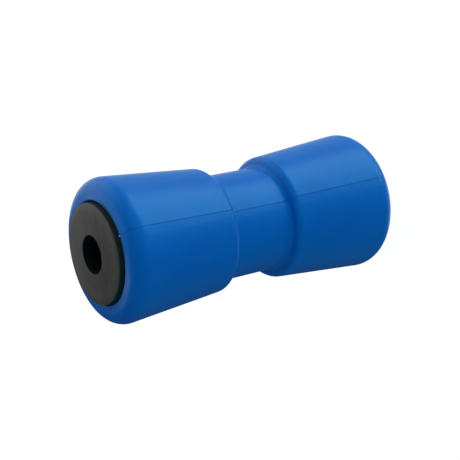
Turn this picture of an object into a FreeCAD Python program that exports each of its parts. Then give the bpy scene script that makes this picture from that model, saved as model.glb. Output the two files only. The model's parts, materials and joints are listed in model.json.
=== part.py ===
"""Boat trailer keel roller: a waisted, soft plastic body with a hard, flanged bush pressed into each end.

The roller stands on its lower end. Z is its axis, sizes are millimetres, and the origin is the middle
of the lower flange's outer face. The body is the same above and below its middle.
"""
import FreeCAD, Part
import math
import os

Vector = FreeCAD.Vector

# Body
BODY_LENGTH = 192.2         # between its two flat end faces
END_RADIUS = 44.6           # where the taper would meet the end face
SHOULDER_RADIUS = 38.4      # small end of the taper, at the top of a shoulder
SHOULDER_SPACING = 43.9     # between the tops of the two shoulders
SHOULDER_LEAN = 16.0        # degrees that a shoulder's wall leans outwards
WAIST_RADIUS = 32.6
END_ROUND = 9.2
SHOULDER_ROUND = 4.6
WAIST_FILLET = 3.2
SEAT_DEPTH = 3.6            # of the shallow seat that a flange sits in
SEAT_LIP_ROUND = 1.2
PARTING_WIDTH = 0.3         # the fine groove where the two halves of the mould met
PARTING_DEPTH = 0.2

# Bush
FLANGE_RADIUS = 30.2
FLANGE_PROUD = 3.9          # how far a flange stands out of the body's end face
FLANGE_FACE_RADIUS = 26.6   # of the flat part of its outer face, inside the bevel
FLANGE_FACE_ROUND = 8.0
FLANGE_BEVEL_DEPTH = 1.0    # how far the bevel falls from there to the flange's edge
FLANGE_EDGE_ROUND = 0.8
FLANGE_PLATE = 5.0          # thickness of the flange between hub and spigot
SHAFT_BORE_RADIUS = 11.5
SHAFT_BORE_LEAD_IN = 0.4
HUB_WALL = 4.0
SPIGOT_RADIUS = 25.0
SPIGOT_WALL = 3.0
SPIGOT_LENGTH = 36.0        # from the flange's inner face
SPIGOT_LEAD_IN = 1.2
POCKET_FILLET = 1.0         # at the foot of the hub and of the spigot
RIB_COUNT = 8
RIB_THICKNESS = 2.6
RIB_SETBACK = 2.0           # how far the ribs end short of the spigot's rim
BARB_COUNT = 3
BARB_HEIGHT = 0.9
BARB_LENGTH = 3.6

# Clearances, all round
FLANGE_CLEARANCE = 0.7      # between a flange's edge and its seat
SPIGOT_CLEARANCE = 0.1      # between a spigot with its barbs and the body's bore

# What follows from these sizes
OVERALL_LENGTH = BODY_LENGTH + 2 * FLANGE_PROUD
MIDDLE = OVERALL_LENGTH / 2
FLANGE_THICKNESS = SEAT_DEPTH + FLANGE_PROUD
SPIGOT_END = FLANGE_THICKNESS + SPIGOT_LENGTH
BARB_PITCH = SPIGOT_LENGTH / (BARB_COUNT + 1)
HUB_RADIUS = SHAFT_BORE_RADIUS + HUB_WALL
POCKET_RADIUS = SPIGOT_RADIUS - SPIGOT_WALL

# A section's corner is (radius, height, rounding)


def corner_turn(before, corner, after):
    """The angle that an outline turns through at a corner; positive to the left."""
    into = math.atan2(corner[1] - before[1], corner[0] - before[0])
    out = math.atan2(after[1] - corner[1], after[0] - corner[0])
    return math.remainder(out - into, 2 * math.pi)


def neighbours(corners, i):
    return corners[i - 1], corners[i], corners[(i + 1) % len(corners)]


def rounding_lengths(corners):
    """How much of its two sides each rounding takes; where two don't fit on a side, both shrink."""
    count = len(corners)
    turns = [abs(corner_turn(*neighbours(corners, i))) for i in range(count)]
    wanted = [corners[i][2] * math.tan(turns[i] / 2) for i in range(count)]
    share = [1.0] * count
    for i in range(count):
        j = (i + 1) % count
        side = math.dist(corners[i][:2], corners[j][:2])
        both = wanted[i] + wanted[j]
        if both > side:
            share[i] = min(share[i], side / both)
            share[j] = min(share[j], side / both)
    return [wanted[i] * share[i] for i in range(count)], turns


def rounded_face(corners):
    """The section with these corners, in the XZ plane, each rounding a true arc."""
    lengths, turns = rounding_lengths(corners)
    count = len(corners)
    roundings = []
    for i in range(count):
        before, corner, after = [Vector(c[0], 0, c[1]) for c in neighbours(corners, i)]
        back = (before - corner).normalize()
        ahead = (after - corner).normalize()
        radius = lengths[i] / math.tan(turns[i] / 2)
        to_arc = radius / math.cos(turns[i] / 2) - radius
        top = corner + (back + ahead).normalize() * to_arc
        roundings.append((corner + back * lengths[i], top, corner + ahead * lengths[i]))
    edges = []
    for i in range(count):
        start, top, end = roundings[i]
        if lengths[i] > 0:
            edges.append(Part.Arc(start, top, end).toShape())
        following = roundings[(i + 1) % count][0]
        if end.distanceToPoint(following) > Part.Precision.confusion():
            edges.append(Part.LineSegment(end, following).toShape())
    return Part.Face(Part.Wire(edges))


def turned(corners):
    """The solid of revolution about the Z axis that has this section."""
    solid = rounded_face(corners).revolve(Vector(0, 0, 0), Vector(0, 0, 1), 360)
    if solid.Volume < 0:
        solid.reverse()
    return solid


def mirrored(corners):
    """The same corners below the middle, in the opposite order."""
    return [(radius, -height, rounding) for radius, height, rounding in reversed(corners)]


def barb_teeth(radius, flange_face, inwards):
    """Saw teeth on a wall of this radius: steep towards the flange, sloping towards the spigot's rim.

    flange_face is the height of the flange's inner face, and inwards is 1 or -1, the way from it to
    the spigot's rim.
    """
    teeth = []
    for k in range(1, BARB_COUNT + 1):
        steep = flange_face + inwards * k * BARB_PITCH
        teeth.append((radius, steep, 0))
        teeth.append((radius + BARB_HEIGHT, steep, 0))
        teeth.append((radius, steep + inwards * BARB_LENGTH, 0))
    return teeth


def outside_corners():
    """The upper half of the body's outside, from the waist up to the end face."""
    lean = math.tan(math.radians(SHOULDER_LEAN))
    shoulder_top = SHOULDER_SPACING / 2
    shoulder_foot = shoulder_top - (SHOULDER_RADIUS - WAIST_RADIUS) * lean
    return [
        (WAIST_RADIUS, shoulder_foot, WAIST_FILLET),
        (SHOULDER_RADIUS, shoulder_top, SHOULDER_ROUND),
        (END_RADIUS, BODY_LENGTH / 2, END_ROUND),
    ]


def inside_corners():
    """The upper half of the body's inside, from the end face down to the middle."""
    end_face = BODY_LENGTH / 2
    seat_radius = FLANGE_RADIUS + FLANGE_CLEARANCE
    seat_floor = end_face - SEAT_DEPTH
    bore_radius = SPIGOT_RADIUS + SPIGOT_CLEARANCE
    seat = [
        (seat_radius, end_face, SEAT_LIP_ROUND),
        (seat_radius, seat_floor, 0),
        (bore_radius, seat_floor, 0),
    ]
    return seat + barb_teeth(bore_radius, seat_floor, -1)


def set_in(corners, depth):
    """The same outline with every side set in by a depth; corners on the axis stay on it."""
    result = []
    for i in range(len(corners)):
        before, corner, after = neighbours(corners, i)
        into = Vector(corner[0] - before[0], corner[1] - before[1], 0).normalize()
        out = Vector(after[0] - corner[0], after[1] - corner[1], 0).normalize()
        left_of_into = Vector(-into.y, into.x, 0)
        left_of_out = Vector(-out.y, out.x, 0)
        shift = (left_of_into + left_of_out) * (depth / (1 + left_of_into.dot(left_of_out)))
        radius = corner[0] + shift.x if corner[0] > 0 else 0
        convex = corner_turn(before, corner, after) > 0
        rounding = max(corner[2] - depth, 0) if convex else corner[2] + depth
        result.append((radius, corner[1] + shift.y, rounding))
    return result


def make_parting_groove():
    """A thin layer of the body's outside, in the plane through the axis where the mould parted."""
    outside = outside_corners()
    axis_top = (0, BODY_LENGTH / 2, 0)
    outline = mirrored([*outside, axis_top]) + [*outside, axis_top]
    skin = turned(outline).cut(turned(set_in(outline, PARTING_DEPTH)))
    reach = max(END_RADIUS, SHOULDER_RADIUS, WAIST_RADIUS) + PARTING_WIDTH
    corner = Vector(-reach, -PARTING_WIDTH / 2, -BODY_LENGTH / 2)
    slab = Part.makeBox(2 * reach, PARTING_WIDTH, BODY_LENGTH, corner)
    return skin.common(slab)


def make_body():
    outside = outside_corners()
    inside = inside_corners()
    body = turned(mirrored(outside) + outside + inside + mirrored(inside))
    body = body.cut(make_parting_groove())
    body.translate(Vector(0, 0, MIDDLE))
    return body


def make_rib(angle):
    """One radial rib, let into the walls of the hub and the spigot."""
    inner = HUB_RADIUS - HUB_WALL / 2
    outer = POCKET_RADIUS + SPIGOT_WALL / 2
    low = FLANGE_PLATE / 2
    high = SPIGOT_END - RIB_SETBACK
    corner = Vector(inner, -RIB_THICKNESS / 2, low)
    rib = Part.makeBox(outer - inner, RIB_THICKNESS, high - low, corner)
    rib.rotate(Vector(0, 0, 0), Vector(0, 0, 1), angle)
    return rib


def make_lower_bush():
    """The bush of the lower end: flange with its outer face down, hub, barbed spigot, and ribs between."""
    section = [
        (SHAFT_BORE_RADIUS, 0, SHAFT_BORE_LEAD_IN),
        (FLANGE_FACE_RADIUS, 0, FLANGE_FACE_ROUND),
        (FLANGE_RADIUS, FLANGE_BEVEL_DEPTH, FLANGE_EDGE_ROUND),
        (FLANGE_RADIUS, FLANGE_THICKNESS, 0),
        (SPIGOT_RADIUS, FLANGE_THICKNESS, 0),
        *barb_teeth(SPIGOT_RADIUS, FLANGE_THICKNESS, 1),
        (SPIGOT_RADIUS, SPIGOT_END, SPIGOT_LEAD_IN),
        (POCKET_RADIUS, SPIGOT_END, 0),
        (POCKET_RADIUS, FLANGE_PLATE, POCKET_FILLET),
        (HUB_RADIUS, FLANGE_PLATE, POCKET_FILLET),
        (HUB_RADIUS, SPIGOT_END, 0),
        (SHAFT_BORE_RADIUS, SPIGOT_END, SHAFT_BORE_LEAD_IN),
    ]
    ribs = [make_rib(360 * k / RIB_COUNT) for k in range(RIB_COUNT)]
    return turned(section).fuse(ribs).removeSplitter()


def make_bushes():
    """The two bushes, each the other turned end for end about the roller's middle."""
    bushes = {}
    for name, turn in (("bush_lower", 0), ("bush_upper", 180)):
        bush = make_lower_bush()
        bush.rotate(Vector(0, 0, MIDDLE), Vector(1, 0, 0), turn)
        bushes[name] = bush
    return bushes


def main():
    os.makedirs("parts", exist_ok=True)
    parts = {"roller_body": make_body(), **make_bushes()}
    for name, shape in parts.items():
        shape.exportStep(f"parts/{name}.step")
        box = shape.optimalBoundingBox(False, False)
        print(f"{name}: {len(shape.Solids)} solid, {shape.Volume / 1000:.1f} cm3, valid {shape.isValid()}, "
              f"height {box.ZMin:.2f} to {box.ZMax:.2f}, width {box.XLength:.2f} mm")


main()
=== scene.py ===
import json
import math

import bpy
from mathutils import Matrix, Vector


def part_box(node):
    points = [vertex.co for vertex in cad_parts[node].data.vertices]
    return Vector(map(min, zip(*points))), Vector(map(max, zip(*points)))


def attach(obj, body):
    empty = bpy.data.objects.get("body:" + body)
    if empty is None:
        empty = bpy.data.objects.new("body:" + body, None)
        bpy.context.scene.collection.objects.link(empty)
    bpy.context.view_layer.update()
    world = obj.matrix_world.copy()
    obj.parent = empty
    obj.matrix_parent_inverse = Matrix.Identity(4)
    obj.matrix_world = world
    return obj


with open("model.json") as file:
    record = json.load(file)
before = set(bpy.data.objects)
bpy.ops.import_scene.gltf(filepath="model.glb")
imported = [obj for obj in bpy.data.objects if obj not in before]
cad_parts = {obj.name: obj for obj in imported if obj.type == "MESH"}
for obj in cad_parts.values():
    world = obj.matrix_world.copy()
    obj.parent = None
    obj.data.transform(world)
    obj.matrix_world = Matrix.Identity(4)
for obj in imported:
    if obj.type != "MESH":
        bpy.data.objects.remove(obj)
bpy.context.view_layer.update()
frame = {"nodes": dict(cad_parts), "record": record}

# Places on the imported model, in metres
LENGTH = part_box("bush_upper")[1].z
END_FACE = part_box("roller_body")[1].z
MIDDLE = Vector((0, 0, LENGTH / 2))
SHAFT_BORE_RADIUS = 0.0115

# The photograph's view, in the camera's own frame: right, up and towards the camera
PHOTO_WIDTH_PX = 460
FOCAL_PX = 1139.5
SENSOR_WIDTH_MM = 36.0
MIDDLE_IN_VIEW = Vector((0.002620, 0.003704, -0.710797))
NEAR_END_IN_VIEW = Vector((-0.822435, -0.180748, 0.539379))
SEAM_AZIMUTH = math.radians(71.0)       # from the picture's up to the parting line, about the axis


def view_axes():
    """The camera's right, up and backward directions in the roller's frame, as a matrix's columns."""
    axis = NEAR_END_IN_VIEW.normalized()
    up = Vector((0, 1, 0))
    upper_side = (up - axis * up.dot(axis)).normalized()
    front_side = upper_side.cross(axis)
    seam = upper_side * math.cos(SEAM_AZIMUTH) + front_side * math.sin(SEAM_AZIMUTH)
    return Matrix((seam, axis.cross(seam), axis))


VIEW = view_axes()


def in_view(right, up, back):
    """A direction given in the camera's frame, turned into the roller's frame."""
    return (VIEW @ Vector((right, up, back))).normalized()


def bearing_in_view(bearing, height):
    """The way to what is so many degrees right of the line of sight and so many above it."""
    bearing, height = math.radians(bearing), math.radians(height)
    level = math.cos(height)
    return in_view(math.sin(bearing) * level, math.sin(height), -math.cos(bearing) * level)


def add_to_scene(name, data):
    thing = bpy.data.objects.new(name, data)
    bpy.context.scene.collection.objects.link(thing)
    return thing


def make_camera():
    data = bpy.data.cameras.new("photo_view")
    data.sensor_width = SENSOR_WIDTH_MM
    data.lens = SENSOR_WIDTH_MM * FOCAL_PX / PHOTO_WIDTH_PX
    data.clip_start = 0.05
    data.clip_end = 50
    camera = add_to_scene("photo_view", data)
    camera.matrix_world = Matrix.Translation(MIDDLE - VIEW @ MIDDLE_IN_VIEW) @ VIEW.to_4x4()
    bpy.context.scene.camera = camera


class Socket:
    """One output of a node; arithmetic on it adds Math nodes, so that shader maths reads as such."""

    def __init__(self, nodes, output):
        self.nodes = nodes
        self.output = output

    def math(self, operation, *others):
        return self.nodes.add("ShaderNodeMath", {"operation": operation}, [self, *others])

    def math_after(self, operation, other):
        return self.nodes.add("ShaderNodeMath", {"operation": operation}, [other, self])

    def __add__(self, other):
        return self.math("ADD", other)

    def __radd__(self, other):
        return self.math_after("ADD", other)

    def __sub__(self, other):
        return self.math("SUBTRACT", other)

    def __rsub__(self, other):
        return self.math_after("SUBTRACT", other)

    def __mul__(self, other):
        return self.math("MULTIPLY", other)

    def __rmul__(self, other):
        return self.math_after("MULTIPLY", other)

    def __abs__(self):
        return self.math("ABSOLUTE")

    def other(self, name):
        """Another output of the same node."""
        return Socket(self.nodes, self.output.node.outputs[name])


class Nodes:
    """Builds one node tree."""

    def __init__(self, tree):
        self.tree = tree
        tree.nodes.clear()

    def add(self, kind, settings=None, inputs=None, output=0):
        """Adds a node: its settings first, then its sockets, by place or by name; gives one output."""
        node = self.tree.nodes.new(kind)
        for name, value in (settings or {}).items():
            setattr(node, name, value)
        pairs = inputs.items() if isinstance(inputs, dict) else enumerate(inputs or [])
        for place, value in pairs:
            if isinstance(value, Socket):
                self.tree.links.new(value.output, node.inputs[place])
            else:
                node.inputs[place].default_value = value
        return Socket(self, node.outputs[output]) if len(node.outputs) else None

    def smooth(self, value, low, high):
        """0 where value is at low, 1 where it is at high, with a soft change between."""
        inputs = {"Value": value, "From Min": low, "From Max": high}
        return self.add("ShaderNodeMapRange", {"interpolation_type": "SMOOTHSTEP"}, inputs)

    def noise(self, place, scale, detail):
        """Soft random values about one half; scale is in repeats per metre."""
        return self.add("ShaderNodeTexNoise", {}, {"Vector": place, "Scale": scale, "Detail": detail})

    def vector_math(self, operation, inputs, output=0):
        return self.add("ShaderNodeVectorMath", {"operation": operation}, inputs, output)

    def stretch(self, place, factors):
        return self.vector_math("MULTIPLY", [place, factors])

    def dot(self, first, second):
        return self.vector_math("DOT_PRODUCT", [first, second], "Value")

    def mix(self, factor, first, second):
        """Two colours mixed: the Mix node's sockets 6 and 7 are its colours, and so is its output 2."""
        colours = {0: factor, 6: with_alpha(first), 7: with_alpha(second)}
        return self.add("ShaderNodeMix", {"data_type": "RGBA"}, colours, output=2)


def with_alpha(colour):
    return colour if isinstance(colour, Socket) else (*colour[:3], 1.0)


class Place:
    """Where the shaded point is on the roller."""

    def __init__(self, nodes):
        self.nodes = nodes
        self.point = nodes.add("ShaderNodeTexCoord", output="Object")
        split = nodes.add("ShaderNodeSeparateXYZ", {}, [self.point])
        self.across = split.other("Y")
        self.height = split.other("Z")
        self.off_middle = abs(self.height - MIDDLE.z)
        self.flat = nodes.stretch(self.point, (1, 1, 0))
        self.radius = nodes.vector_math("LENGTH", [self.flat], "Value")

    def towards(self, side):
        """1 on this side of the axis, 0 square to it and -1 opposite to it."""
        return self.nodes.dot(self.nodes.vector_math("NORMALIZE", [self.flat]), side)


def new_material(name):
    material = bpy.data.materials.new(name)
    material.use_nodes = True
    return material, Nodes(material.node_tree)


def finish_material(nodes, **inputs):
    """Ends a material in one Principled shader whose sockets take these values or links."""
    named = {name.replace("_", " "): value for name, value in inputs.items()}
    shader = nodes.add("ShaderNodeBsdfPrincipled", {}, named)
    nodes.add("ShaderNodeOutputMaterial", {}, {"Surface": shader})


def bumped(nodes, height, bump, under=None):
    """A normal bumped by a height, on top of another bump if there is one."""
    distance, strength = bump
    inputs = {"Height": height, "Distance": distance, "Strength": strength}
    if under:
        inputs["Normal"] = under
    return nodes.add("ShaderNodeBump", {}, inputs)


# Blue moulded plastic
BLUE = (0.0, 0.113, 0.540)
BLUE_DEEP = (0.0, 0.101, 0.504)
BLUE_PALE = (0.012, 0.137, 0.584)
# Painted shade: the parting line's groove is painted a darker blue, fading towards the ends
SEAM_SHADE_BLUE = (0.0, 0.055, 0.310)
# Painted shade: a dark crescent on the upper seat's lip, standing in for the shadow of the gap round the
# flange
GAP_SHADE = (0.003, 0.008, 0.014)
BLUE_SPECULAR_TINT = (0.18, 0.97, 1.0, 1.0)
BLUE_IOR = 1.5
FLECK_SHARE = 0.25
SEAM_SHADE_SHARE = 0.15
GAP_SHADE_SHARE = 0.75

BLUE_ROUGHNESS = 0.30
GLOSS_UNEVENNESS = 0.06
SEAM_DULLNESS = 0.60
# The painted shade on the seat's lip is also made rougher
GAP_SHADE_DULLNESS = 0.35

# Its noise patterns, as repeats per metre and detail; its bumps, as distance in metres and strength
CLOUDS = (28, 3)
FLECKS = (420, 2)
GLOSS_CLOUDS = (75, 3)
GRAIN = (2600, 2)
GRAIN_BUMP = (0.00003, 0.6)
RIPPLES = (140, 1)
RIPPLE_BUMP = (0.00025, 0.5)

# Where each change in it begins and ends; lengths are in metres
CLOUD_CHANGE = (0.3, 0.7)               # in the noise's values
FLECK_CHANGE = (0.66, 0.80)
SEAM_ACROSS = (0.00010, 0.00028)        # from the parting line's middle
SEAM_ALONG = (0.076, 0.088)             # from the roller's middle, towards its ends
# The painted shade on the upper seat's lip: its radii, heights, side and spread
LIP_RADII = (0.0320, 0.0342)
LIP_HEIGHTS = (0.190, 0.192)
GAP_SHADE_SIDE = (0.974, 0.225, 0.0)        # of the upper seat's lip
GAP_SHADE_CHANGE = (0.70, 0.97)             # the cosine at the painted shade's ends and at its full strength

# The end faces' crown, highest at the seat's lip; its height is in metres already
CROWN_BUMP = (1.0, 1.0)
CROWN_SLOPE = 0.26
CROWN_EDGE = 0.034                      # the slope fades out from this radius
CROWN_FADE = 0.008                      # over this width
CROWN_HEIGHTS = (0.075, 0.080)          # from the roller's middle: none below, whole above
CROWN_SIDE = (0.755, 0.656, 0.0)
CROWN_UNEVENNESS = 0.6                  # how much steeper it is on that side, and flatter on the other


def crown(nodes, place):
    """Height of the crown that an end face slopes down from, as a bump; nothing away from the ends."""
    inside = (CROWN_EDGE - place.radius).math("MAXIMUM", 0.0)
    left = (CROWN_EDGE + CROWN_FADE - place.radius) * (1 / CROWN_FADE)
    left = left.math("MAXIMUM", 0.0).math("MINIMUM", 1.0)
    height = (inside + left * left * left * (CROWN_FADE / 3)) * CROWN_SLOPE
    uneven = 1 + place.towards(CROWN_SIDE) * CROWN_UNEVENNESS
    return height * uneven * nodes.smooth(place.off_middle, *CROWN_HEIGHTS)


def seam_mask(nodes, place):
    """1 on the parting line and 0 off it; it fades towards the ends."""
    on_line = 1 - nodes.smooth(abs(place.across), *SEAM_ACROSS)
    return on_line * (1 - nodes.smooth(place.off_middle, *SEAM_ALONG))


def gap_shade_mask(nodes, place):
    """1 on the crescent of the upper seat's lip that is painted with the shade of the gap round the
    flange, and 0 off it.
    """
    on_lip = (1 - nodes.smooth(place.radius, *LIP_RADII)) * nodes.smooth(place.height, *LIP_HEIGHTS)
    return on_lip * nodes.smooth(place.towards(GAP_SHADE_SIDE), *GAP_SHADE_CHANGE)


def blue_tone(nodes, place, seam, gap_shade):
    clouds = nodes.smooth(nodes.noise(place.point, *CLOUDS), *CLOUD_CHANGE)
    flecks = nodes.smooth(nodes.noise(place.point, *FLECKS), *FLECK_CHANGE)
    tone = nodes.mix(clouds, BLUE_DEEP, BLUE)
    tone = nodes.mix(flecks * FLECK_SHARE, tone, BLUE_PALE)
    # painted shade along the parting line's groove
    tone = nodes.mix(seam * SEAM_SHADE_SHARE, tone, SEAM_SHADE_BLUE)
    # painted shade of the gap round the flange, on the upper seat's lip
    return nodes.mix(gap_shade * GAP_SHADE_SHARE, tone, GAP_SHADE)


def blue_normal(nodes, place):
    """A fine grain, slow ripples, and the crown of the end faces."""
    normal = bumped(nodes, nodes.noise(place.point, *GRAIN), GRAIN_BUMP)
    normal = bumped(nodes, nodes.noise(place.point, *RIPPLES), RIPPLE_BUMP, normal)
    return bumped(nodes, crown(nodes, place), CROWN_BUMP, normal)


def blue_plastic():
    material, nodes = new_material("blue_soft_plastic")
    place = Place(nodes)
    seam = seam_mask(nodes, place)
    # where the seat's lip is painted with the gap's shade
    gap_shade = gap_shade_mask(nodes, place)
    uneven = nodes.noise(place.point, *GLOSS_CLOUDS) * GLOSS_UNEVENNESS
    dull = seam * SEAM_DULLNESS + gap_shade * GAP_SHADE_DULLNESS
    finish_material(nodes, Base_Color=blue_tone(nodes, place, seam, gap_shade),
                    Roughness=BLUE_ROUGHNESS + uneven + dull,
                    Normal=blue_normal(nodes, place),
                    IOR=BLUE_IOR, Specular_Tint=BLUE_SPECULAR_TINT)
    return material


# Black moulded plastic
BLACK = (0.043, 0.027, 0.025)
BLACK_DUSTY = (0.137, 0.098, 0.094)
# Painted shade: off the face, the flange's edge and side are painted darker than the face, for the shade
# along its rim; their warmth offsets the cool fill light
SHADED_EDGE_BLACK = (0.030, 0.020, 0.018)
# Painted shade: the inside of the bore is painted near-black, darker than the plastic, for the shade
# deep in it
BORE_SHADE_BLACK = (0.001, 0.001, 0.001)
BLACK_SPECULAR_TINT = (1.0, 0.75, 0.72, 1.0)
BLACK_IOR = 1.4
WORN_SHARE = 0.30

BLACK_ROUGHNESS = 0.92
FACE_GLOSS = 0.42                       # how much less rough the flange's face is
CLOUD_DULLNESS = 0.08

# Its noise patterns, as repeats per metre and detail, and its bump, as distance and strength
BLACK_CLOUDS = (90, 3)
BLACK_GRAIN = (1800, 3)
BLACK_GRAIN_BUMP = (0.00004, 0.7)
STREAKS_PER_METRE = (220, 70, 70)
STREAK_DETAIL = 3
STREAK_TURN = math.radians(19)

# Where each change in it begins and ends, in metres
DUSTY_SIDE = (-0.52, 0.86, 0.0)
DUST_CHANGE = (-0.032, 0.036)           # along that side
DUST_PATCHINESS = 0.03
WORN_RADII = (0.019, 0.028)
FACE_HEIGHTS = (MIDDLE.z - 0.0020, MIDDLE.z - 0.0010)
BORE_RADII = (SHAFT_BORE_RADIUS, SHAFT_BORE_RADIUS + 0.0003)


def dust_mask(nodes, place, clouds):
    """Streaky dust: 1 towards the dusty side and 0 towards the other."""
    mapping = {"Vector": place.point, "Rotation": (0, 0, STREAK_TURN)}
    turned = nodes.add("ShaderNodeMapping", {}, mapping)
    streaks = nodes.noise(nodes.stretch(turned, STREAKS_PER_METRE), 1, STREAK_DETAIL)
    side = nodes.dot(place.point, DUSTY_SIDE)
    return nodes.smooth(side + (streaks + clouds - 1) * DUST_PATCHINESS, *DUST_CHANGE)


def black_tone(nodes, place, dust, on_face, outside):
    tone = nodes.mix(dust, BLACK, BLACK_DUSTY)
    worn = nodes.smooth(place.radius, *WORN_RADII)
    tone = nodes.mix(worn * WORN_SHARE, tone, BLACK_DUSTY)
    # painted shade on the flange's edge and side
    tone = nodes.mix(on_face, SHADED_EDGE_BLACK, tone)
    # painted shade inside the bore
    return nodes.mix(outside, BORE_SHADE_BLACK, tone)


def black_plastic():
    material, nodes = new_material("black_hard_plastic")
    place = Place(nodes)
    clouds = nodes.noise(place.point, *BLACK_CLOUDS)
    dust = dust_mask(nodes, place, clouds)
    on_face = nodes.smooth(place.off_middle, *FACE_HEIGHTS)
    outside = nodes.smooth(place.radius, *BORE_RADII)
    glossy = outside * on_face * FACE_GLOSS
    grain = nodes.noise(place.point, *BLACK_GRAIN)
    finish_material(nodes, Base_Color=black_tone(nodes, place, dust, on_face, outside),
                    Roughness=BLACK_ROUGHNESS - glossy + clouds * CLOUD_DULLNESS,
                    Normal=bumped(nodes, grain, BLACK_GRAIN_BUMP),
                    IOR=BLACK_IOR, Specular_Tint=BLACK_SPECULAR_TINT)
    return material


# A sliver of flash, where the parting line meets the lip of the upper seat; it has gone pale
FLASH_PALE = (0.80, 0.76, 0.86)
FLASH_PATCHES = (2500, 2)
FLASH_PATCH_CHANGE = (0.40, 0.62)
FLASH_GRAIN = (5000, 2)
FLASH_GRAIN_BUMP = (0.00003, 1.0)
FLASH_ROUGHNESS = 0.5
FLASH_CORNERS = 8
MM_PER_METRE = 1000
# Radius, height above the end face, half width and half thickness along the sliver, in millimetres
FLASH_STATIONS = [
    (33.10, -0.20, 0.30, 0.20),
    (32.75, 0.10, 0.42, 0.22),
    (32.35, 0.28, 0.46, 0.24),
    (31.95, 0.30, 0.34, 0.20),
    (31.70, 0.22, 0.12, 0.08),
]


def flash_plastic():
    material, nodes = new_material("whitened_flash")
    point = nodes.add("ShaderNodeTexCoord", output="Object")
    patches = nodes.smooth(nodes.noise(point, *FLASH_PATCHES), *FLASH_PATCH_CHANGE)
    tone = nodes.mix(patches, BLUE_PALE, FLASH_PALE)
    normal = bumped(nodes, nodes.noise(point, *FLASH_GRAIN), FLASH_GRAIN_BUMP)
    finish_material(nodes, Base_Color=tone, Roughness=FLASH_ROUGHNESS, Normal=normal)
    return material


def flash_ring(before, station, after):
    """The corners of the sliver's section at a station, square to the way past it."""
    radius, height, half_width, half_thickness = station
    along = Vector((after[0] - before[0], 0, after[1] - before[1])).normalized()
    side = Vector((0, 1, 0))
    face = side.cross(along)
    middle = Vector((radius, 0, height))
    angles = [2 * math.pi * k / FLASH_CORNERS for k in range(FLASH_CORNERS)]
    around = [side * math.cos(a) * half_width + face * math.sin(a) * half_thickness for a in angles]
    return [(middle + way) / MM_PER_METRE + Vector((0, 0, END_FACE)) for way in around]


def flash_corners():
    last = len(FLASH_STATIONS) - 1
    corners = []
    for i, station in enumerate(FLASH_STATIONS):
        corners += flash_ring(FLASH_STATIONS[max(i - 1, 0)], station, FLASH_STATIONS[min(i + 1, last)])
    return corners


def flash_faces():
    """Two end caps, and four-sided faces between each ring and the next."""
    ring = list(range(FLASH_CORNERS))
    last = (len(FLASH_STATIONS) - 1) * FLASH_CORNERS
    faces = [ring[::-1], [last + k for k in ring]]
    for low in range(0, last, FLASH_CORNERS):
        high = low + FLASH_CORNERS
        for k in ring:
            j = (k + 1) % FLASH_CORNERS
            faces.append([low + k, low + j, high + j, high + k])
    return faces


def make_flash():
    mesh = bpy.data.meshes.new("mould_flash")
    mesh.from_pydata(flash_corners(), [], flash_faces())
    mesh.shade_smooth()
    mesh.materials.append(flash_plastic())
    flash = add_to_scene("mould_flash", mesh)
    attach(flash, "root")


def dress_nodes():
    """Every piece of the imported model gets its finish."""
    finishes = {"blue_plastic": blue_plastic(), "black_plastic": black_plastic()}
    for part in frame["record"]["subparts"]:
        piece = frame["nodes"][part["node"]]
        piece.data.materials.clear()
        piece.data.materials.append(finishes[part["material_slot"]])


# Floor
WHITE = (1.0, 1.0, 1.0, 1.0)
FLOOR_RADIUS = 4.0
FLOOR_STEPS = 96
FLOOR_GLOW = 0.97
FLOOR_ALBEDO = (0.20, 0.20, 0.20, 1.0)


def make_floor():
    """A plain, pale floor that throws neither light nor shadow on the roller."""
    angles = [2 * math.pi * k / FLOOR_STEPS for k in range(FLOOR_STEPS)]
    rim = [(FLOOR_RADIUS * math.cos(a), FLOOR_RADIUS * math.sin(a), 0) for a in angles]
    mesh = bpy.data.meshes.new("floor")
    mesh.from_pydata(rim, [], [list(range(FLOOR_STEPS))])
    material, nodes = new_material("pale_floor")
    finish_material(nodes, Base_Color=FLOOR_ALBEDO, Roughness=1.0, Specular_IOR_Level=0.0,
                    Emission_Color=WHITE, Emission_Strength=FLOOR_GLOW)
    mesh.materials.append(material)
    floor = add_to_scene("floor", mesh)
    floor.visible_glossy = False
    floor.visible_diffuse = False
    floor.visible_shadow = False


# Softboxes
SOFTBOX_DISTANCE = 1.5
NEUTRAL = (1.0, 1.0, 1.0)
WARM = (1.0, 0.88, 0.85)
# Bearing and height from the line of sight, half width and half height in degrees; radiance; colour
SOFTBOXES = {
    "right_softbox": (98.0, 51.3, 18.5, 26.4, 1.80, NEUTRAL),
    "left_softbox": (-79.0, 35.8, 27.5, 28.0, 0.66, WARM),
    "left_panel": (-97.5, 2.0, 25.0, 11.0, 0.71, WARM),
    "low_left_panel": (-85.0, -20.0, 12.5, 11.0, 1.44, WARM),
    "backdrop": (0.0, 14.0, 40.0, 12.0, 0.40, NEUTRAL),
    "left_backdrop": (-27.0, 14.0, 13.5, 12.0, 0.55, NEUTRAL),
    "right_backdrop": (45.0, 0.0, 22.0, 12.0, 0.80, NEUTRAL),
}


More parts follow.
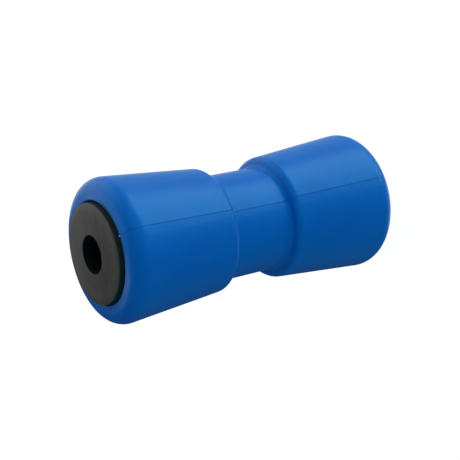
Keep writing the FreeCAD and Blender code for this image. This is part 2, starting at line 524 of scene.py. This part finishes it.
def add_softbox(name, bearing, height, half_width, half_height, radiance, colour):
    """A square-cornered soft light, upright in the photograph's view, that faces the roller's middle."""
    way = bearing_in_view(bearing, height)
    sideways = in_view(0, 1, 0).cross(way).normalized()
    upright = way.cross(sideways)
    data = bpy.data.lights.new(name, "AREA")
    data.shape = "RECTANGLE"
    data.color = colour
    data.size = 2 * SOFTBOX_DISTANCE * math.tan(math.radians(half_width))
    data.size_y = 2 * SOFTBOX_DISTANCE * math.tan(math.radians(half_height))
    data.energy = radiance * math.pi * data.size * data.size_y
    light = add_to_scene(name, data)
    turn = Matrix((sideways, upright, way)).transposed()
    light.matrix_world = Matrix.Translation(MIDDLE + way * SOFTBOX_DISTANCE) @ turn.to_4x4()
    light.visible_camera = False


# Surroundings: dim all round, brighter above the picture, and a weak fill from below in front
AMBIENT = 0.075
DOME = 0.68
DOME_CHANGE = (-0.3, 0.9)
FRONT_FILL = 0.43
FILL_CHANGE = (-0.3, 1.0)
FILL_BEARING = 145
FILL_HEIGHT = -38
AMBIENT_TINT = (0.55, 0.93, 1.0, 1.0)
FILL_TINT = (0.12, 0.94, 1.0, 1.0)


def make_surroundings():
    """Light on the roller from all round; the camera sees plain white instead."""
    world = bpy.data.worlds.new("studio")
    world.use_nodes = True
    bpy.context.scene.world = world
    nodes = Nodes(world.node_tree)
    way = nodes.add("ShaderNodeTexCoord", output="Generated")
    above = nodes.dot(way, in_view(0, 1, 0))
    in_front = nodes.dot(way, bearing_in_view(FILL_BEARING, FILL_HEIGHT))
    around = AMBIENT + nodes.smooth(above, *DOME_CHANGE) * DOME
    fill = nodes.smooth(in_front, *FILL_CHANGE) * FRONT_FILL
    around = nodes.add("ShaderNodeBackground", {}, {"Color": AMBIENT_TINT, "Strength": around})
    fill = nodes.add("ShaderNodeBackground", {}, {"Color": FILL_TINT, "Strength": fill})
    lit = nodes.add("ShaderNodeAddShader", {}, [around, fill])
    seen = nodes.add("ShaderNodeBackground", {}, {"Color": WHITE, "Strength": 1.0})
    by_camera = nodes.add("ShaderNodeLightPath", output="Is Camera Ray")
    both = nodes.add("ShaderNodeMixShader", {}, [by_camera, lit, seen])
    nodes.add("ShaderNodeOutputWorld", {}, {"Surface": both})


def make_light():
    make_surroundings()
    for name, numbers in SOFTBOXES.items():
        add_softbox(name, *numbers)
    bpy.context.scene.view_settings.view_transform = "Standard"


make_camera()
dress_nodes()
make_flash()
make_floor()
make_light()
